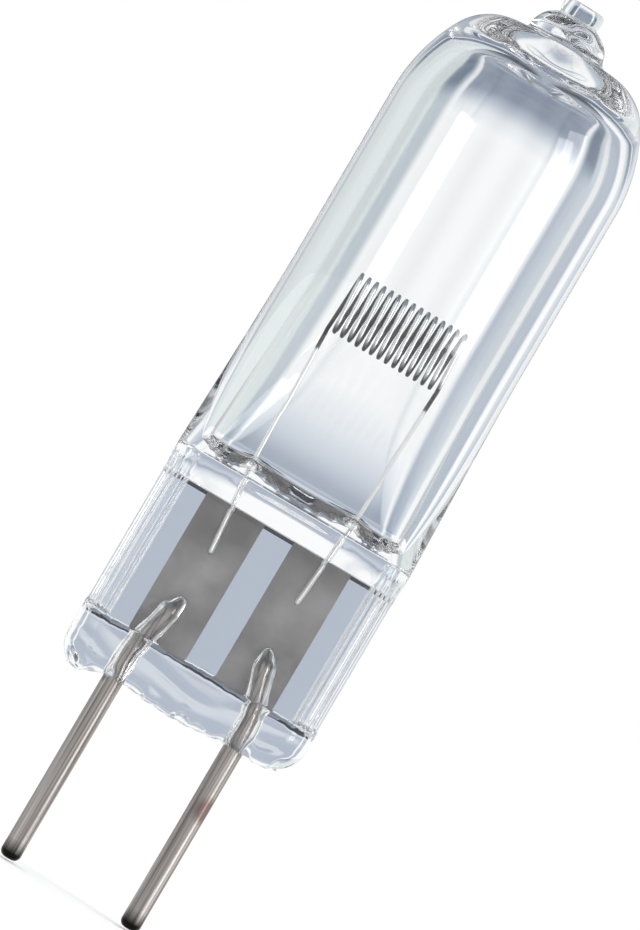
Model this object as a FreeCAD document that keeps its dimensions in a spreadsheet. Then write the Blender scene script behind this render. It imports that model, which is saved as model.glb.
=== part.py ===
import FreeCAD, Part
import Sketcher
import math
import os

# Halogen capsule bulb: a clear quartz envelope pinched onto two foils, two contact pins and a flat
# coiled filament.
# Frame: +Z up along the bulb's axis, +X from the left pin to the right pin, -Y the face of the pinch
# that is seen.
# The origin is midway between the pins, on the plane where they leave the quartz.

doc = FreeCAD.newDocument("halogen_capsule_bulb")
Vector = FreeCAD.Vector
Rule = Sketcher.Constraint

# Driving dimensions in millimetres
SIZES = (
    ("pin_spacing", 6.35),
    ("pin_diameter", 1.0),
    ("pin_root_diameter", 0.9),
    ("pin_root_drop", 0.4),
    ("pin_length", 9.5),
    ("pin_tip_radius", 0.3),
    ("pin_straight", 1.3),
    ("pin_bend_radius", 2.0),
    ("pin_embed", 4.6),
    ("foil_spacing", 4.56),
    ("foil_width", 3.02),
    ("foil_height", 7.45),
    ("foil_thickness", 0.035),
    ("foil_feather", 0.3),
    ("foil_base", 2.1),
    ("weld_flat", 0.03),
    ("wire_diameter", 0.2),
    ("wire_flat", 0.02),
    ("wire_bend_reach", 0.15),
    ("coil_turns", 15),
    ("coil_pitch", 0.39),
    ("coil_height", 2.95),
    ("coil_depth", 1.0),
    ("light_centre", 29.75),
    ("leg_weld", 2.35),
    ("leg_seal_spacing", 5.4),
    ("pinch_width", 12.25),
    ("rail_thickness", 3.8),
    ("rail_width", 1.2),
    ("panel_thickness", 2.8),
    ("panel_height", 7.23),
    ("lip_height", 2.35),
    ("lip_thickness", 3.3),
    ("lip_drop", 0.25),
    ("bar_height", 1.35),
    ("neck_height", 8.2),
    ("tube_diameter", 11.74),
    ("tube_length", 10.65),
    ("wall_thickness", 1.15),
    ("floor_thickness", 0.45),
    ("slot_thickness", 1.5),
    ("floor_radius", 0.5),
    ("dome_height", 5.4),
    ("dome_flat_diameter", 4.9),
    ("crown_thickness", 1.65),
    ("crown_flat_diameter", 5.0),
    ("crown_sag", 0.3),
    ("crown_sag_diameter", 3.4),
    ("tip_base_diameter", 3.9),
    ("tip_collar_height", 1.5),
    ("tip_neck_diameter", 1.9),
    ("tip_cap_diameter", 2.05),
    ("tip_cap_height", 0.7),
    ("tip_cap_radius", 0.2),
)

sheet = doc.addObject("Spreadsheet::Sheet", "sizes")
for row, (name, value) in enumerate(SIZES, 1):
    sheet.set(f"A{row}", name)
    sheet.set(f"B{row}", str(value))
    sheet.setAlias(f"B{row}", name)
doc.recompute()


def cell(text):
    """The text with each size name turned into a reference to its cell."""
    for name, _ in sorted(SIZES, key=lambda size: -len(size[0])):
        text = text.replace(name, "<" + str([size[0] for size in SIZES].index(name)) + ">")
    for index, (name, _) in enumerate(SIZES):
        text = text.replace(f"<{index}>", "sizes." + name)
    return text


def number(text):
    """The value that a size expression has now."""
    return float(sheet.evalExpression(cell(text)))


# Levels up the bulb's axis and half sizes, as expressions of the driving dimensions
PANEL_TOP = "(lip_height + panel_height)"
PINCH_TOP = "(lip_height + panel_height + bar_height)"
NECK_TOP = f"({PINCH_TOP} + neck_height)"
DOME_BASE = f"({NECK_TOP} + tube_length)"
DOME_TOP = f"({DOME_BASE} + dome_height)"
COLLAR_TOP = f"({DOME_TOP} + tip_collar_height)"
TIP_TOP = f"({COLLAR_TOP} + tip_cap_height)"
CAVITY_FLOOR = f"({PINCH_TOP} + floor_thickness)"
CAVITY_TOP = f"({DOME_TOP} - crown_thickness)"
TUBE_RADIUS = "(tube_diameter / 2)"
BORE_RADIUS = "(tube_diameter / 2 - wall_thickness)"
FOIL_TOP = "(foil_base + foil_height)"
FOIL_FRONT = "(pin_root_diameter / 2 - weld_flat)"
LEG_DEPTH = f"({FOIL_FRONT} - wire_diameter / 2 + wire_flat)"
COIL_CENTRE = "(light_centre - pin_length)"

# Share of the neck's height, and how far its section has opened from the flat pinch to the round tube there
NECK_STEPS = ((0.25, 0.13), (0.5, 0.5), (0.75, 0.87))
# Places round the quarter circle of the gas space's floor, in degrees from its wall
FLOOR_TURNS = (0, 30, 60, 90)
# Radius of an oval section's sides, as a share of its half thickness
SIDE_SHARE = 0.93
# Radius of the tight corner of the dome and of the crown inside it, as a share of the overhang
CORNER_SHARE = 0.8
# Radius of the collar under the tip, as a share of its height
COLLAR_SHARE = 1.25
# Number of flat sides that stand for the round of the filament's thin wire
WIRE_SIDES = 8
# Two levels or points closer than this are the same
SAME_PLACE = 1e-4


def new_sketch(body, name, role, height="0"):
    """A sketch on one of the body's own origin planes, moved along that plane's normal."""
    sketch = body.newObject("Sketcher::SketchObject", name)
    plane = [item for item in body.Origin.OriginFeatures if item.Role == role][0]
    sketch.AttachmentSupport = [(plane, "")]
    sketch.MapMode = "FlatFace"
    sketch.setExpression("AttachmentOffset.Base.z", cell(height))
    doc.recompute()
    return sketch


def bind(sketch, rule, expression):
    """Adds a dimension to the sketch and ties it to the driving dimensions."""
    index = sketch.addConstraint(rule)
    sketch.setExpression(f"Constraints[{index}]", cell(expression))


def place(sketch, edge, end, across, up):
    """Fixes one end of an edge at a point given by two expressions."""
    bind(sketch, Rule("DistanceX", -1, 1, edge, end, number(across)), across)
    bind(sketch, Rule("DistanceY", -1, 1, edge, end, number(up)), up)


def point(across, up):
    """A point of a sketch from two expressions."""
    return Vector(number(across), number(up), 0)


def outline(sketch, corners):
    """A closed outline of straight lines through the corners, each fixed by its expressions."""
    count = len(corners)
    edges = []
    for index in range(count):
        start = point(*corners[index])
        end = point(*corners[(index + 1) % count])
        edges.append(sketch.addGeometry(Part.LineSegment(start, end)))
    for index in range(count):
        sketch.addConstraint(Rule("Coincident", edges[index], 2, edges[(index + 1) % count], 1))
        place(sketch, edges[index], 1, *corners[index])
    return edges


def arc_about(sketch, centre, radius, start, stop):
    """An arc of a circle in the sketch, counter-clockwise from one angle to the other."""
    circle = Part.Circle(centre, Vector(0, 0, 1), radius)
    return sketch.addGeometry(Part.ArcOfCircle(circle, start, stop))


def oval_face(half_width, half_thickness, side):
    """Radius of an oval's broad arcs, from its half sizes and the radius of its sides."""
    across = f"(({half_width} - {side})^2 + {half_thickness}^2 - {side}^2)"
    return f"({across} / (2 * ({half_thickness} - {side})))"


def oval_turn(half_width, half_thickness, side):
    """The angle from the long axis at which an oval's side arcs meet its broad arcs."""
    reach = number(f"{half_width} - {side}")
    drop = number(f"{oval_face(half_width, half_thickness, side)} - {half_thickness}")
    return math.atan2(drop, reach)


def oval(body, name, height, half_width, half_thickness, side):
    """A flat oval of four tangent arcs, lying across the bulb's axis."""
    sketch = new_sketch(body, name, "XY_Plane", height)
    face = oval_face(half_width, half_thickness, side)
    reach = number(f"{half_width} - {side}")
    drop = number(f"{face} - {half_thickness}")
    turn = oval_turn(half_width, half_thickness, side)
    right = arc_about(sketch, Vector(reach, 0, 0), number(side), -turn, turn)
    back = arc_about(sketch, Vector(0, -drop, 0), number(face), turn, math.pi - turn)
    left = arc_about(sketch, Vector(-reach, 0, 0), number(side), math.pi - turn, math.pi + turn)
    front = arc_about(sketch, Vector(0, drop, 0), number(face), math.pi + turn, 2 * math.pi - turn)
    ring = (right, back, left, front)
    for index in range(4):
        sketch.addConstraint(Rule("Tangent", ring[index], 2, ring[(index + 1) % 4], 1))
    sketch.addConstraint(Rule("PointOnObject", right, 3, -1))
    sketch.addConstraint(Rule("PointOnObject", left, 3, -1))
    bind(sketch, Rule("DistanceX", -1, 1, right, 3, reach), f"{half_width} - {side}")
    bind(sketch, Rule("DistanceX", left, 3, -1, 1, reach), f"{half_width} - {side}")
    for edge, radius in ((right, side), (left, side), (back, face), (front, face)):
        bind(sketch, Rule("Radius", edge, number(radius)), radius)
    doc.recompute()
    return sketch


def ring_section(body, name, height, radius, turn):
    """A circle of four arcs, split at the same angles as the ovals of a loft that it ends."""
    sketch = new_sketch(body, name, "XY_Plane", height)
    splits = (-turn, turn, math.pi - turn, math.pi + turn, 2 * math.pi - turn)
    for start, stop in zip(splits, splits[1:]):
        arc_about(sketch, Vector(0, 0, 0), number(radius), start, stop)
    for index in range(4):
        sketch.addConstraint(Rule("Coincident", index, 2, (index + 1) % 4, 1))
        sketch.addConstraint(Rule("Coincident", index, 3, -1, 1))
        if index < 3:
            sketch.addConstraint(Rule("Angle", index, splits[index + 1] - splits[index]))
    bind(sketch, Rule("Radius", 0, number(radius)), radius)
    sketch.addConstraint(Rule("Symmetric", 0, 1, 0, 2, -1))
    doc.recompute()
    return sketch


def flare(body, name, floor, half_width, half_thickness, radius):
    """A loft from a flat oval at the floor's level up to a circle at the top of the neck."""
    flat_side = f"({SIDE_SHARE} * {half_thickness})"
    sections = [oval(body, f"{name}_flat", floor, half_width, half_thickness, flat_side)]
    for step, (share, opened) in enumerate(NECK_STEPS, 1):
        height = f"({floor} + ({NECK_TOP} - {floor}) * {share})"
        wide = f"({half_width} + ({radius} - {half_width}) * {opened})"
        thick = f"({half_thickness} + ({radius} - {half_thickness}) * {opened})"
        side = f"({flat_side} + ({radius} - {flat_side}) * {opened})"
        sections.append(oval(body, f"{name}_step_{step}", height, wide, thick, side))
    turn = oval_turn(half_width, half_thickness, flat_side)
    sections.append(ring_section(body, f"{name}_round", NECK_TOP, radius, turn))
    loft = body.newObject("PartDesign::AdditiveLoft", name)
    loft.Profile = sections[0]
    loft.Sections = sections[1:]
    doc.recompute()
    return loft


def edges_at(feature, height):
    """Names of the feature's edges that lie wholly at one height."""
    names = []
    for index, edge in enumerate(feature.Shape.Edges, 1):
        box = edge.BoundBox
        if abs(box.ZMin - height) < SAME_PLACE and abs(box.ZMax - height) < SAME_PLACE:
            names.append(f"Edge{index}")
    return names


def sketch_axis(sketch):
    """The sketch's own upright axis, for a revolution."""
    return (sketch, ["V_Axis"])


def pocket(body, name, sketch, length=None):
    """A cut from the sketch to both sides, through everything or to a stated width."""
    cut = body.newObject("PartDesign::Pocket", name)
    cut.Profile = sketch
    cut.SideType = "Symmetric"
    if length is None:
        cut.Type = "ThroughAll"
    else:
        cut.Type = "Length"
        cut.setExpression("Length", cell(length))
    doc.recompute()
    return cut


def dome_arcs(sketch, wall, radius, flat, base, top):
    """A flank and a tight shoulder that round a turned wall off to a flat top; returns the two arcs."""
    over = f"({radius} - {flat})"
    rise = f"({top} - {base})"
    corner = f"({CORNER_SHARE} * {over})"
    sweep = f"(({over}^2 + {rise}^2 - 2 * {rise} * {corner}) / (2 * ({over} - {corner})))"
    flank_centre = point(f"{radius} - {sweep}", base)
    corner_centre = point(flat, f"{top} - {corner}")
    join = math.atan2(corner_centre.y - flank_centre.y, corner_centre.x - flank_centre.x)
    flank = arc_about(sketch, flank_centre, number(sweep), 0, join)
    shoulder = arc_about(sketch, corner_centre, number(corner), join, math.pi / 2)
    sketch.addConstraint(Rule("Tangent", wall, 2, flank, 1))
    sketch.addConstraint(Rule("Tangent", flank, 2, shoulder, 1))
    bind(sketch, Rule("Radius", shoulder, number(corner)), corner)
    return flank, shoulder


# Left contact pin: drawn rod, rounded at its tip, etched down to a taper where it is sealed in, bent
# inward at the top and flattened where the foil is welded on
left_pin = doc.addObject("PartDesign::Body", "left_pin")
left_pin.setExpression("Placement.Base.x", cell("-pin_spacing / 2"))
pin_path = new_sketch(left_pin, "pin_path", "XZ_Plane")
pin_rise = number("pin_embed - pin_straight")
pin_shift = number("(pin_spacing - foil_spacing) / 2")
bend_radius = number("pin_bend_radius")
# The lean that takes the rod from its bend to the foil: found by halving, as rise and shift fix it
low, high = 0.0, math.radians(80)
for _ in range(60):
    lean = (low + high) / 2
    run = (pin_rise - bend_radius * math.sin(lean)) * math.tan(lean)
    if bend_radius * (1 - math.cos(lean)) + run < pin_shift:
        low = lean
    else:
        high = lean
bend_start = Vector(0, number("pin_straight"), 0)
bend_end = bend_start + Vector(bend_radius * (1 - math.cos(lean)), bend_radius * math.sin(lean), 0)
pin_end = Vector(pin_shift, number("pin_embed"), 0)
shank = pin_path.addGeometry(Part.LineSegment(Vector(0, -number("pin_length"), 0), bend_start))
bend = arc_about(pin_path, bend_start + Vector(bend_radius, 0, 0), bend_radius, math.pi - lean, math.pi)
head = pin_path.addGeometry(Part.LineSegment(bend_end, pin_end))
place(pin_path, shank, 1, "0", "-pin_length")
place(pin_path, shank, 2, "0", "pin_straight")
pin_path.addConstraint(Rule("Tangent", shank, 2, bend, 2))
pin_path.addConstraint(Rule("Tangent", bend, 1, head, 1))
bind(pin_path, Rule("Radius", bend, bend_radius), "pin_bend_radius")
place(pin_path, head, 2, "(pin_spacing - foil_spacing) / 2", "pin_embed")
doc.recompute()
contact_section = new_sketch(left_pin, "contact_section", "XY_Plane", "-pin_length")
contact_section.addGeometry(Part.Circle(Vector(0, 0, 0), Vector(0, 0, 1), number("pin_diameter / 2")))
contact_section.addConstraint(Rule("Coincident", 0, 3, -1, 1))
bind(contact_section, Rule("Radius", 0, number("pin_diameter / 2")), "pin_diameter / 2")
doc.recompute()
pin_contact = left_pin.newObject("PartDesign::Pad", "pin_contact")
pin_contact.Profile = contact_section
pin_contact.setExpression("Length", cell("pin_length - pin_root_drop"))
doc.recompute()
pin_taper = left_pin.newObject("PartDesign::AdditiveCone", "pin_taper")
pin_taper.AttachmentSupport = contact_section.AttachmentSupport
pin_taper.MapMode = "FlatFace"
pin_taper.setExpression("AttachmentOffset.Base.z", cell("-pin_root_drop"))
pin_taper.setExpression("Radius1", cell("pin_diameter / 2"))
pin_taper.setExpression("Radius2", cell("pin_root_diameter / 2"))
pin_taper.setExpression("Height", cell("pin_straight + pin_root_drop"))
doc.recompute()
root_section = new_sketch(left_pin, "root_section", "XY_Plane", "pin_straight")
root_section.addGeometry(Part.Circle(Vector(0, 0, 0), Vector(0, 0, 1), number("pin_root_diameter / 2")))
root_section.addConstraint(Rule("Coincident", 0, 3, -1, 1))
bind(root_section, Rule("Radius", 0, number("pin_root_diameter / 2")), "pin_root_diameter / 2")
doc.recompute()
pin_root = left_pin.newObject("PartDesign::AdditivePipe", "pin_root")
pin_root.Profile = root_section
pin_root.Spine = (pin_path, ["Edge2", "Edge3"])
doc.recompute()
pin_tip = left_pin.newObject("PartDesign::Fillet", "pin_tip")
pin_tip.Base = (pin_root, edges_at(pin_root, -number("pin_length")))
pin_tip.setExpression("Radius", cell("pin_tip_radius"))
doc.recompute()
pin_flat = new_sketch(left_pin, "pin_flat", "YZ_Plane")
outline(pin_flat, (
    (FOIL_FRONT, "foil_base"),
    ("pin_diameter", "foil_base"),
    ("pin_diameter", "pin_embed + pin_diameter"),
    (FOIL_FRONT, "pin_embed + pin_diameter"),
))
pocket(left_pin, "pin_weld", pin_flat)

# Right contact pin: the left one mirrored
right_pin = doc.addObject("Part::Mirroring", "right_pin")
right_pin.Source = left_pin
right_pin.Normal = Vector(1, 0, 0)


def make_foil(label, side):
    """One sealing foil: a thin strip whose long edges are etched down to a feather edge."""
    foil = doc.addObject("PartDesign::Body", label)
    foil.setExpression("Placement.Base.x", cell(f"{side} * foil_spacing / 2"))
    foil.setExpression("Placement.Base.y", cell(f"{FOIL_FRONT} + foil_thickness / 2"))
    foil.setExpression("Placement.Base.z", cell("foil_base"))
    section = new_sketch(foil, f"{label}_section", "XY_Plane")
    outline(section, (
        ("-foil_width / 2", "0"),
        ("-foil_width / 2 + foil_feather", "-foil_thickness / 2"),
        ("foil_width / 2 - foil_feather", "-foil_thickness / 2"),
        ("foil_width / 2", "0"),
        ("foil_width / 2 - foil_feather", "foil_thickness / 2"),
        ("-foil_width / 2 + foil_feather", "foil_thickness / 2"),
    ))
    strip = foil.newObject("PartDesign::Pad", f"{label}_strip")
    strip.Profile = section
    strip.setExpression("Length", cell("foil_height"))
    doc.recompute()
    return foil


# Sealing foils: molybdenum strips behind the pins and the filament's legs
left_foil = make_foil("left_foil", -1)
right_foil = make_foil("right_foil", 1)


# Filament path: leg, flat coil wound round a bar, leg. The wire climbs the bar's back and comes down its
# front. Each side leans by the same slope, so straights and end turns are lines and arcs that meet without
# a kink.
end_radius = number("(coil_depth - wire_diameter) / 2")
half_rise = number("(coil_height - wire_diameter) / 2")
turns = round(number("coil_turns"))
slope = number("coil_pitch") / (4 * half_rise + 4 * end_radius)
rise_step = slope * 2 * half_rise
depth_step = slope * 2 * end_radius
coil_middle = number(COIL_CENTRE)
coil_top = coil_middle + half_rise
coil_low = coil_middle - half_rise
half_coil = (turns * number("coil_pitch") - depth_step) / 2


def rounded_path(points, reaches):
    """Straight runs through the points, with a tangent arc at each inner one, a reach before and after it."""
    edges = []
    start = points[0]
    for before, corner_point, after, reach in zip(points, points[1:], points[2:], reaches):
        into = (corner_point - before).normalize()
        away = (after - corner_point).normalize()
        bend_angle = into.getAngle(away)
        radius = reach / math.tan(bend_angle / 2)
        first = corner_point - into * reach
        last = corner_point + away * reach
        inward = (away - into).normalize()
        middle = corner_point + inward * (radius / math.cos(bend_angle / 2) - radius)
        if (first - start).Length > SAME_PLACE:
            edges.append(Part.makeLine(start, first))
        edges.append(Part.Arc(first, middle, last).toShape())
        start = last
    edges.append(Part.makeLine(start, points[-1]))
    return edges


leg_depth = number(LEG_DEPTH)
leg_end = number(f"{FOIL_TOP} - leg_weld")
seal_level = number(f"{CAVITY_FLOOR} + slot_thickness / 2")
foil_centre = number("foil_spacing / 2")
seal_centre = number("leg_seal_spacing / 2")
wire_bend = number("wire_bend_reach")
turn_reach = end_radius * math.sqrt(1 + slope ** 2)
leg_start = Vector(-foil_centre, leg_depth, leg_end)
left_seal = Vector(-seal_centre, leg_depth, seal_level)
wire_points = [leg_start, left_seal, Vector(-half_coil, end_radius, coil_low)]
wire_reaches = [wire_bend, wire_bend]
wire_x = -half_coil
for turn_index in range(turns):
    wire_x += rise_step
    wire_points.append(Vector(wire_x, end_radius, coil_top))
    wire_x += depth_step
    wire_points.append(Vector(wire_x, -end_radius, coil_top))
    wire_x += rise_step
    wire_points.append(Vector(wire_x, -end_radius, coil_low))
    wire_reaches += [turn_reach, turn_reach]
    if turn_index < turns - 1:
        wire_x += depth_step
        wire_points.append(Vector(wire_x, end_radius, coil_low))
        wire_reaches += [turn_reach, turn_reach]
wire_points.append(Vector(seal_centre, leg_depth, seal_level))
wire_points.append(Vector(foil_centre, leg_depth, leg_end))
wire_reaches += [wire_bend, wire_bend]
path_edges = rounded_path(wire_points, wire_reaches)
wire_path = doc.addObject("Part::Feature", "wire_path")
wire_path.Shape = Part.Wire(path_edges)

# Filament: one tungsten wire drawn along that path, with its leg ends pressed flat where they are welded
# to the foils
wire_section = doc.addObject("Part::RegularPolygon", "wire_section")
wire_section.Polygon = WIRE_SIDES
wire_section.setExpression("Circumradius", cell("wire_diameter / 2"))
leg_heading = left_seal - leg_start
wire_section.Placement = FreeCAD.Placement(leg_start, FreeCAD.Rotation(Vector(0, 0, 1), leg_heading))
wire_sweep = doc.addObject("Part::Sweep", "wire_sweep")
wire_sweep.Sections = [wire_section]
wire_sweep.Spine = (wire_path, [f"Edge{index}" for index in range(1, len(path_edges) + 1)])
wire_sweep.Solid = True
doc.recompute()
weld_block = doc.addObject("Part::Box", "weld_block")
weld_block.setExpression("Length", cell("pinch_width"))
weld_block.setExpression("Width", cell("wire_diameter"))
weld_block.setExpression("Height", cell("foil_height"))
weld_block.setExpression("Placement.Base.x", cell("-pinch_width / 2"))
weld_block.setExpression("Placement.Base.y", cell(FOIL_FRONT))
weld_block.setExpression("Placement.Base.z", cell("foil_base"))
filament = doc.addObject("Part::Cut", "filament")
filament.Base = wire_sweep
filament.Tool = weld_block
doc.recompute()

# Quartz blank: the tube with its dome and tip-off turned about the axis
blank = doc.addObject("PartDesign::Body", "quartz_blank")
profile = new_sketch(blank, "tube_profile", "XZ_Plane")
flat_radius = "(dome_flat_diameter / 2)"
collar_radius = f"(tip_collar_height * {COLLAR_SHARE})"
collar_start = point("tip_base_diameter / 2", DOME_TOP)
collar_end = point("tip_neck_diameter / 2", COLLAR_TOP)
chord = collar_end - collar_start
sagitta_axis = Vector(-chord.y, chord.x, 0).normalize()
collar_height = math.sqrt(max(number(collar_radius) ** 2 - chord.Length ** 2 / 4, 0))
collar_centre = (collar_start + collar_end) * 0.5 + sagitta_axis * collar_height
collar_from = math.atan2(collar_start.y - collar_centre.y, collar_start.x - collar_centre.x)
collar_to = math.atan2(collar_end.y - collar_centre.y, collar_end.x - collar_centre.x)
cap_radius = "(tip_cap_diameter / 2)"
straight_points = (
    ("0", TIP_TOP),
    ("0", NECK_TOP),
    (TUBE_RADIUS, NECK_TOP),
    (TUBE_RADIUS, DOME_BASE),
)
axis_edge = profile.addGeometry(Part.LineSegment(point(*straight_points[0]), point(*straight_points[1])))
lower_edge = profile.addGeometry(Part.LineSegment(point(*straight_points[1]), point(*straight_points[2])))
wall_edge = profile.addGeometry(Part.LineSegment(point(*straight_points[2]), point(*straight_points[3])))
flank, shoulder = dome_arcs(profile, wall_edge, TUBE_RADIUS, flat_radius, DOME_BASE, DOME_TOP)
crown_edge = profile.addGeometry(Part.LineSegment(point(flat_radius, DOME_TOP), collar_start))
collar = arc_about(profile, collar_centre, number(collar_radius), collar_from, collar_to)
cap_start = point(cap_radius, f"{COLLAR_TOP} + tip_cap_radius / 2")
under_cap = profile.addGeometry(Part.LineSegment(collar_end, cap_start))
cap_side = profile.addGeometry(Part.LineSegment(
    cap_start, point(cap_radius, f"{TIP_TOP} - tip_cap_radius")))
cap_round = arc_about(
    profile, point(f"{cap_radius} - tip_cap_radius", f"{TIP_TOP} - tip_cap_radius"), number("tip_cap_radius"),
    0, math.pi / 2)
cap_top = profile.addGeometry(Part.LineSegment(
    point(f"{cap_radius} - tip_cap_radius", TIP_TOP), point("0", TIP_TOP)))
for before, after in ((axis_edge, lower_edge), (lower_edge, wall_edge)):
    profile.addConstraint(Rule("Coincident", before, 2, after, 1))
place(profile, axis_edge, 1, *straight_points[0])
place(profile, axis_edge, 2, *straight_points[1])
place(profile, lower_edge, 2, *straight_points[2])
place(profile, wall_edge, 2, *straight_points[3])
profile.addConstraint(Rule("Tangent", shoulder, 2, crown_edge, 1))
place(profile, crown_edge, 1, flat_radius, DOME_TOP)
place(profile, crown_edge, 2, "tip_base_diameter / 2", DOME_TOP)
profile.addConstraint(Rule("Coincident", crown_edge, 2, collar, 1))
bind(profile, Rule("Radius", collar, number(collar_radius)), collar_radius)
profile.addConstraint(Rule("Coincident", collar, 2, under_cap, 1))
place(profile, under_cap, 1, "tip_neck_diameter / 2", COLLAR_TOP)
profile.addConstraint(Rule("Coincident", under_cap, 2, cap_side, 1))
place(profile, cap_side, 1, cap_radius, f"{COLLAR_TOP} + tip_cap_radius / 2")
profile.addConstraint(Rule("Tangent", cap_side, 2, cap_round, 1))
profile.addConstraint(Rule("Tangent", cap_round, 2, cap_top, 1))
bind(profile, Rule("Radius", cap_round, number("tip_cap_radius")), "tip_cap_radius")
profile.addConstraint(Rule("Vertical", cap_side))
profile.addConstraint(Rule("Coincident", cap_top, 2, axis_edge, 1))
profile.addConstraint(Rule("Horizontal", cap_top))
doc.recompute()
tube = blank.newObject("PartDesign::Revolution", "tube")
tube.Profile = profile
tube.ReferenceAxis = sketch_axis(profile)
tube.Angle = 360
doc.recompute()

# Neck: the tube squeezed from round to flat, then the pressed slab of the pinch below it
neck = flare(blank, "neck", PINCH_TOP, "(pinch_width / 2)", "(rail_thickness / 2)", TUBE_RADIUS)
slab_section = oval(
    blank, "slab_section", "(-lip_drop)", "(pinch_width / 2)", "(rail_thickness / 2)",
    f"({SIDE_SHARE} * rail_thickness / 2)")
slab = blank.newObject("PartDesign::Pad", "pinch_slab")
slab.Profile = slab_section
slab.setExpression("Length", cell(f"{PINCH_TOP} + lip_drop"))
doc.recompute()

# Pressed panels between the side rails, with a sloping bar along the top, on the front and on the back
panel_section = new_sketch(blank, "panel_section", "YZ_Plane")
for side in ("1", "-1"):
    outline(panel_section, (
        (f"{side} * panel_thickness / 2", "lip_height"),
        (f"{side} * panel_thickness / 2", PANEL_TOP),
        (f"{side} * rail_thickness / 2", PINCH_TOP),
        (f"{side} * rail_thickness", PINCH_TOP),
        (f"{side} * rail_thickness", "lip_height"),
    ))
pocket(blank, "panels", panel_section, "pinch_width - 2 * rail_width")

# Lip below the jaws, thinner than the rails and proud of the panels
lip_section = new_sketch(blank, "lip_section", "YZ_Plane")
for side in ("1", "-1"):
    outline(lip_section, (
        (f"{side} * lip_thickness / 2", "-2 * lip_drop"),
        (f"{side} * lip_thickness / 2", "lip_height"),
        (f"{side} * rail_thickness", "lip_height"),
        (f"{side} * rail_thickness", "-2 * lip_drop"),
    ))
pocket(blank, "lip", lip_section)

# Lower end: bowed down between the pins and sloping away beyond them, as the cut tube end sags in the flame
end_section = new_sketch(blank, "end_section", "XZ_Plane")
bow = "((pin_spacing^2 / 4 + lip_drop^2) / (2 * lip_drop))"
bow_turn = math.asin(number("pin_spacing / 2") / number(bow))
bow_edge = arc_about(
    end_section, point("0", f"{bow} - lip_drop"), number(bow),
    1.5 * math.pi - bow_turn, 1.5 * math.pi + bow_turn)
corners = (
    ("pin_spacing / 2", "0"),
    ("pinch_width", "-lip_drop * (2 * pinch_width - pin_spacing) / (pinch_width - pin_spacing)"),
    ("pinch_width", "-lip_drop * 4"),
    ("-pinch_width", "-lip_drop * 4"),
    ("-pinch_width", "-lip_drop * (2 * pinch_width - pin_spacing) / (pinch_width - pin_spacing)"),
    ("-pin_spacing / 2", "0"),
)
end_edges = []
for start, end in zip(corners, corners[1:]):
    end_edges.append(end_section.addGeometry(Part.LineSegment(point(*start), point(*end))))
end_section.addConstraint(Rule("Coincident", bow_edge, 2, end_edges[0], 1))
for before, after in zip(end_edges, end_edges[1:]):
    end_section.addConstraint(Rule("Coincident", before, 2, after, 1))
end_section.addConstraint(Rule("Coincident", end_edges[-1], 2, bow_edge, 1))
for edge, start in zip(end_edges, corners):
    place(end_section, edge, 1, *start)
place(end_section, end_edges[-1], 2, *corners[-1])
bind(end_section, Rule("Radius", bow_edge, number(bow)), bow)
doc.recompute()
pocket(blank, "lower_end", end_section)

# Gas space: the tube's bore, rounded under the crown where the melted tip sags in, flattened into the neck
hollow = doc.addObject("PartDesign::Body", "gas_space")
bore_profile = new_sketch(hollow, "bore_profile", "XZ_Plane")
crown_half = "(crown_flat_diameter / 2)"
sag_half = "(crown_sag_diameter / 2)"
sag_radius = f"(({sag_half}^2 + crown_sag^2) / (2 * crown_sag))"
sag_turn = math.asin(number(sag_half) / number(sag_radius))
bore_bottom = bore_profile.addGeometry(Part.LineSegment(point("0", NECK_TOP), point(BORE_RADIUS, NECK_TOP)))
bore_wall = bore_profile.addGeometry(Part.LineSegment(
    point(BORE_RADIUS, NECK_TOP), point(BORE_RADIUS, DOME_BASE)))
crown_flank, crown_shoulder = dome_arcs(
    bore_profile, bore_wall, BORE_RADIUS, crown_half, DOME_BASE, CAVITY_TOP)
bore_top = bore_profile.addGeometry(Part.LineSegment(
    point(crown_half, CAVITY_TOP), point(sag_half, CAVITY_TOP)))
bore_sag = arc_about(
    bore_profile, point("0", f"{CAVITY_TOP} - crown_sag + {sag_radius}"), number(sag_radius),
    1.5 * math.pi, 1.5 * math.pi + sag_turn)
bore_axis = bore_profile.addGeometry(Part.LineSegment(
    point("0", f"{CAVITY_TOP} - crown_sag"), point("0", NECK_TOP)))
bore_profile.addConstraint(Rule("Coincident", bore_bottom, 2, bore_wall, 1))
place(bore_profile, bore_bottom, 1, "0", NECK_TOP)
place(bore_profile, bore_bottom, 2, BORE_RADIUS, NECK_TOP)
place(bore_profile, bore_wall, 2, BORE_RADIUS, DOME_BASE)
bore_profile.addConstraint(Rule("Tangent", crown_shoulder, 2, bore_top, 1))
place(bore_profile, bore_top, 1, crown_half, CAVITY_TOP)
bore_profile.addConstraint(Rule("Coincident", bore_top, 2, bore_sag, 2))
place(bore_profile, bore_top, 2, sag_half, CAVITY_TOP)
bore_profile.addConstraint(Rule("Coincident", bore_sag, 1, bore_axis, 1))
place(bore_profile, bore_axis, 1, "0", f"{CAVITY_TOP} - crown_sag")
bind(bore_profile, Rule("Radius", bore_sag, number(sag_radius)), sag_radius)
bore_profile.addConstraint(Rule("Coincident", bore_axis, 2, bore_bottom, 1))
doc.recompute()
bore = hollow.newObject("PartDesign::Revolution", "bore")
bore.Profile = bore_profile
bore.ReferenceAxis = sketch_axis(bore_profile)
bore.Angle = 360
doc.recompute()
throat_floor = f"({CAVITY_FLOOR} + floor_radius)"
throat_width = "(pinch_width / 2 - wall_thickness)"
throat_depth = "(slot_thickness / 2)"
throat = flare(hollow, "throat", throat_floor, throat_width, throat_depth, BORE_RADIUS)

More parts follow.
